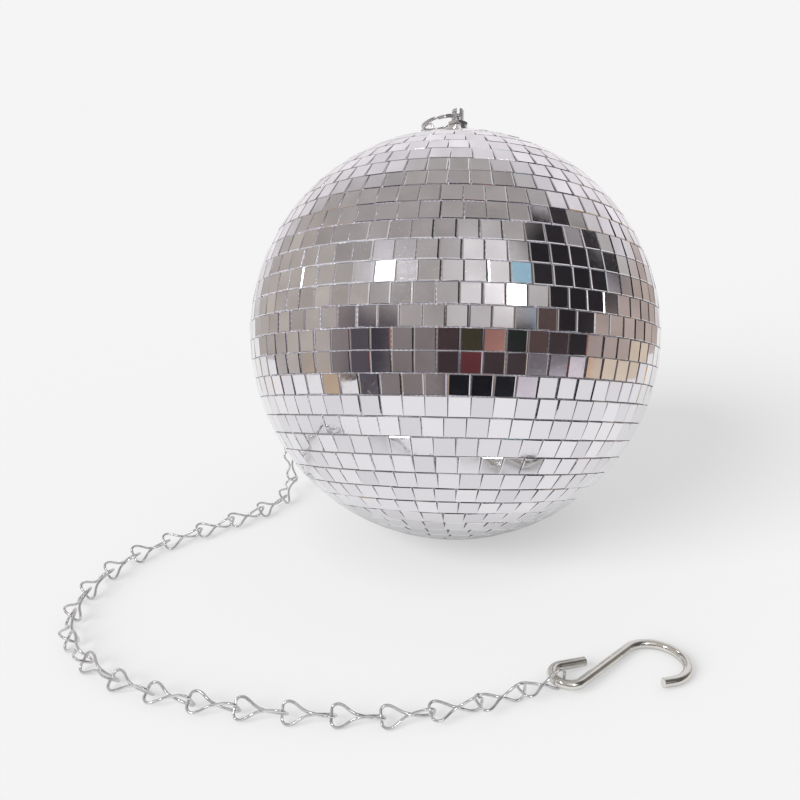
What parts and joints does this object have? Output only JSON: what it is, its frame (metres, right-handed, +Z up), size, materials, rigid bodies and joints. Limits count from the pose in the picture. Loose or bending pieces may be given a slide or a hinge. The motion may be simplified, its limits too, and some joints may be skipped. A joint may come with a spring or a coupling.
{
  "type": "mirror ball",
  "caption": "Mirror ball faced with small square glass tiles, with a hanging stud, split ring, jack chain and S-hook, at rest on a flat surface with the chain laid out.",
  "frame": {"origin": "centre of the outer face of the mirror tile that the ball rests on, level with the floor", "axes": "+Z up, +X to the right and -Y towards the viewer who has the S-hook nearest; the ball leans back towards +Y"},
  "size_m": [0.2756, 0.2723, 0.2109],
  "materials": {
    "mirror_tiles": "silvered glass tiles",
    "core": "moulded plastic",
    "zinc": "zinc plated",
    "steel": "plain steel",
    "chain_wire": "zinc plated wire",
    "hook_wire": "zinc plated, slightly yellow"
  },
  "bodies": {
    "ball": {"core_upper_shell": "core", "core_lower_shell": "core", "mirror_band_01": "mirror_tiles", "mirror_band_02": "mirror_tiles", "mirror_band_03": "mirror_tiles", "mirror_band_04": "mirror_tiles", "mirror_band_05": "mirror_tiles", "mirror_band_06": "mirror_tiles", "mirror_band_07": "mirror_tiles", "mirror_band_08": "mirror_tiles", "mirror_band_09": "mirror_tiles", "mirror_band_10": "mirror_tiles", "mirror_band_11": "mirror_tiles", "pole_tile": "mirror_tiles", "crown_plate": "steel", "spacer_collar": "zinc", "crown_nut": "zinc", "backing_plate": "steel", "inner_nut": "zinc", "hanger_stud": "steel"},
    "ring": {"split_ring": "zinc"},
    "link_01": {"chain_link_01": "chain_wire"},
    "link_02": {"chain_link_02": "chain_wire"},
    "link_03": {"chain_link_03": "chain_wire"},
    "link_04": {"chain_link_04": "chain_wire"},
    "link_05": {"chain_link_05": "chain_wire"},
    "link_06": {"chain_link_06": "chain_wire"},
    "link_07": {"chain_link_07": "chain_wire"},
    "link_08": {"chain_link_08": "chain_wire"},
    "link_09": {"chain_link_09": "chain_wire"},
    "link_10": {"chain_link_10": "chain_wire"},
    "link_11": {"chain_link_11": "chain_wire"},
    "link_12": {"chain_link_12": "chain_wire"},
    "link_13": {"chain_link_13": "chain_wire"},
    "link_14": {"chain_link_14": "chain_wire"},
    "link_15": {"chain_link_15": "chain_wire"},
    "link_16": {"chain_link_16": "chain_wire"},
    "link_17": {"chain_link_17": "chain_wire"},
    "link_18": {"chain_link_18": "chain_wire"},
    "link_19": {"chain_link_19": "chain_wire"},
    "link_20": {"chain_link_20": "chain_wire"},
    "link_21": {"chain_link_21": "chain_wire"},
    "link_22": {"chain_link_22": "chain_wire"},
    "link_23": {"chain_link_23": "chain_wire"},
    "link_24": {"chain_link_24": "chain_wire"},
    "link_25": {"chain_link_25": "chain_wire"},
    "link_26": {"chain_link_26": "chain_wire"},
    "link_27": {"chain_link_27": "chain_wire"},
    "link_28": {"chain_link_28": "chain_wire"},
    "link_29": {"chain_link_29": "chain_wire"},
    "link_30": {"chain_link_30": "chain_wire"},
    "link_31": {"chain_link_31": "chain_wire"},
    "link_32": {"chain_link_32": "chain_wire"},
    "link_33": {"chain_link_33": "chain_wire"},
    "link_34": {"chain_link_34": "chain_wire"},
    "link_35": {"chain_link_35": "chain_wire"},
    "hook": {"s_hook": "hook_wire"}
  },
  "joints": [
    {"name": "ring_in_stud", "type": "hinge", "parent": "ball", "child": "ring", "pos_m": [0.00286, 0.04088, 0.20513], "axis": [-0.0049, 0.9305, -0.3663], "range_deg": [0, 150]},
    {"name": "link_01_swing", "type": "hinge", "parent": "ring", "child": "link_01", "pos_m": [-0.00906, 0.04654, 0.20006], "axis": [-0.0828, 0.4249, 0.9015], "range_deg": [-25, 25]},
    {"name": "link_02_swing", "type": "hinge", "parent": "link_01", "child": "link_02", "pos_m": [-0.02442, 0.05187, 0.19162], "axis": [0.2283, -0.485, -0.8442], "range_deg": [-25, 25]},
    {"name": "link_03_swing", "type": "hinge", "parent": "link_02", "child": "link_03", "pos_m": [-0.03963, 0.05694, 0.18274], "axis": [-0.3706, 0.5323, 0.7611], "range_deg": [-25, 25]},
    {"name": "link_04_swing", "type": "hinge", "parent": "link_03", "child": "link_04", "pos_m": [-0.05368, 0.06033, 0.17146], "axis": [0.5019, -0.5641, -0.6557], "range_deg": [-25, 25]},
    {"name": "link_05_swing", "type": "hinge", "parent": "link_04", "child": "link_05", "pos_m": [-0.06615, 0.06195, 0.15812], "axis": [-0.6185, 0.5792, 0.531], "range_deg": [-25, 25]},
    {"name": "link_06_swing", "type": "hinge", "parent": "link_05", "child": "link_06", "pos_m": [-0.07669, 0.06175, 0.14312], "axis": [0.7169, -0.5774, -0.3907], "range_deg": [-25, 25]},
    {"name": "link_07_swing", "type": "hinge", "parent": "link_06", "child": "link_07", "pos_m": [-0.08496, 0.05974, 0.12688], "axis": [-0.7943, 0.5585, 0.2389], "range_deg": [-25, 25]},
    {"name": "link_08_swing", "type": "hinge", "parent": "link_07", "child": "link_08", "pos_m": [-0.09079, 0.05584, 0.10993], "axis": [0.849, -0.5222, -0.0805], "range_deg": [-15, 15]},
    {"name": "link_09_swing", "type": "hinge", "parent": "link_08", "child": "link_09", "pos_m": [-0.09258, 0.05345, 0.09185], "axis": [-0.8564, 0.5164, 0], "range_deg": [-15, 15]},
    {"name": "link_10_swing", "type": "hinge", "parent": "link_09", "child": "link_10", "pos_m": [-0.09258, 0.05345, 0.07353], "axis": [0.8564, -0.5164, 0], "range_deg": [-15, 15]},
    {"name": "link_11_swing", "type": "hinge", "parent": "link_10", "child": "link_11", "pos_m": [-0.09258, 0.05347, 0.05521], "axis": [-0.8563, 0.516, -0.0215], "range_deg": [-15, 15]},
    {"name": "link_12_swing", "type": "hinge", "parent": "link_11", "child": "link_12", "pos_m": [-0.09252, 0.05316, 0.03684], "axis": [0.8468, -0.4633, 0.2613], "range_deg": [-15, 15]},
    {"name": "link_13_swing", "type": "hinge", "parent": "link_12", "child": "link_13", "pos_m": [-0.09129, 0.0463, 0.0198], "axis": [-0.8129, 0.275, -0.5133], "range_deg": [-15, 15]},
    {"name": "link_14_swing", "type": "hinge", "parent": "link_13", "child": "link_14", "pos_m": [-0.08854, 0.03242, 0.00796], "axis": [0.8134, -0.2458, 0.5272], "range_deg": [-15, 15]},
    {"name": "link_15_swing", "type": "hinge", "parent": "link_14", "child": "link_15", "pos_m": [-0.09183, 0.01326, 0.00411], "axis": [0.5574, 0.0705, -0.8272], "range_deg": [-40, 45]},
    {"name": "link_16_swing", "type": "hinge", "parent": "link_15", "child": "link_16", "pos_m": [-0.10151, -0.00061, 0.0042], "axis": [0.3794, -0.4253, 0.8217], "range_deg": [-45, 45]},
    {"name": "link_17_swing", "type": "hinge", "parent": "link_16", "child": "link_17", "pos_m": [-0.1164, -0.0137, 0.0043], "axis": [0.5404, -0.619, -0.5699], "range_deg": [-45, 45]},
    {"name": "link_18_swing", "type": "hinge", "parent": "link_17", "child": "link_18", "pos_m": [-0.13004, -0.02354, 0.00397], "axis": [0.363, -0.538, 0.7608], "range_deg": [-45, 30]},
    {"name": "link_19_swing", "type": "hinge", "parent": "link_18", "child": "link_19", "pos_m": [-0.14613, -0.03511, 0.00346], "axis": [0.458, -0.608, -0.6485], "range_deg": [-45, 45]},
    {"name": "link_20_swing", "type": "hinge", "parent": "link_19", "child": "link_20", "pos_m": [-0.15689, -0.0481, 0.00407], "axis": [-0.7784, 0.3752, -0.5033], "range_deg": [-40, 45]},
    {"name": "link_21_swing", "type": "hinge", "parent": "link_20", "child": "link_21", "pos_m": [-0.16566, -0.06587, 0.00439], "axis": [-0.4453, 0.2351, 0.864], "range_deg": [-45, 45]},
    {"name": "link_22_swing", "type": "hinge", "parent": "link_21", "child": "link_22", "pos_m": [-0.17028, -0.08209, 0.00426], "axis": [0.7106, -0.0145, 0.7035], "range_deg": [-45, 40]},
    {"name": "link_23_swing", "type": "hinge", "parent": "link_22", "child": "link_23", "pos_m": [-0.17063, -0.10191, 0.00421], "axis": [0.7034, -0.0109, -0.7107], "range_deg": [-45, 45]},
    {"name": "link_24_swing", "type": "hinge", "parent": "link_23", "child": "link_24", "pos_m": [-0.16606, -0.11819, 0.0043], "axis": [-0.4321, -0.3209, -0.8428], "range_deg": [-45, 45]},
    {"name": "link_25_swing", "type": "hinge", "parent": "link_24", "child": "link_25", "pos_m": [-0.15377, -0.13373, 0.00392], "axis": [0.6548, 0.531, -0.5378], "range_deg": [-25, 45]},
    {"name": "link_26_swing", "type": "hinge", "parent": "link_25", "child": "link_26", "pos_m": [-0.14036, -0.14394, 0.00346], "axis": [-0.3485, -0.7167, -0.604], "range_deg": [-45, 45]},
    {"name": "link_27_swing", "type": "hinge", "parent": "link_26", "child": "link_27", "pos_m": [-0.12276, -0.15305, 0.00412], "axis": [0.3014, 0.5244, -0.7963], "range_deg": [-20, 45]},
    {"name": "link_28_swing", "type": "hinge", "parent": "link_27", "child": "link_28", "pos_m": [-0.10684, -0.15855, 0.00439], "axis": [-0.1729, -0.8144, -0.554], "range_deg": [-45, 45]},
    {"name": "link_29_swing", "type": "hinge", "parent": "link_28", "child": "link_29", "pos_m": [-0.08744, -0.16257, 0.00424], "axis": [0.1065, 0.5437, -0.8325], "range_deg": [-25, 45]},
    {"name": "link_30_swing", "type": "hinge", "parent": "link_29", "child": "link_30", "pos_m": [-0.0708, -0.16504, 0.00421], "axis": [-0.0508, -0.5637, -0.8244], "range_deg": [-45, 45]},
    {"name": "link_31_swing", "type": "hinge", "parent": "link_30", "child": "link_31", "pos_m": [-0.05107, -0.16694, 0.00429], "axis": [-0.0813, -0.8204, 0.566], "range_deg": [-45, 30]},
    {"name": "link_32_swing", "type": "hinge", "parent": "link_31", "child": "link_32", "pos_m": [-0.03424, -0.16677, 0.00323], "axis": [0.1144, -0.7926, -0.5989], "range_deg": [-45, 45]},
    {"name": "link_33_swing", "type": "hinge", "parent": "link_32", "child": "link_33", "pos_m": [-0.01456, -0.16462, 0.00415], "axis": [-0.0286, 0.6, -0.7995], "range_deg": [-40, 45]},
    {"name": "link_34_swing", "type": "hinge", "parent": "link_33", "child": "link_34", "pos_m": [0.00191, -0.16102, 0.00473], "axis": [-0.3737, 0.9182, 0.1312], "range_deg": [-45, 45]},
    {"name": "link_35_swing", "type": "hinge", "parent": "link_34", "child": "link_35", "pos_m": [0.02028, -0.15358, 0.00492], "axis": [0.0402, -0.1252, 0.9913], "range_deg": [-45, 45]},
    {"name": "hook_swing", "type": "hinge", "parent": "link_35", "child": "hook", "pos_m": [0.03683, -0.14572, 0.00495], "axis": [-0.0018, -0.0008, 1], "range_deg": [-60, 30]}
  ]
}
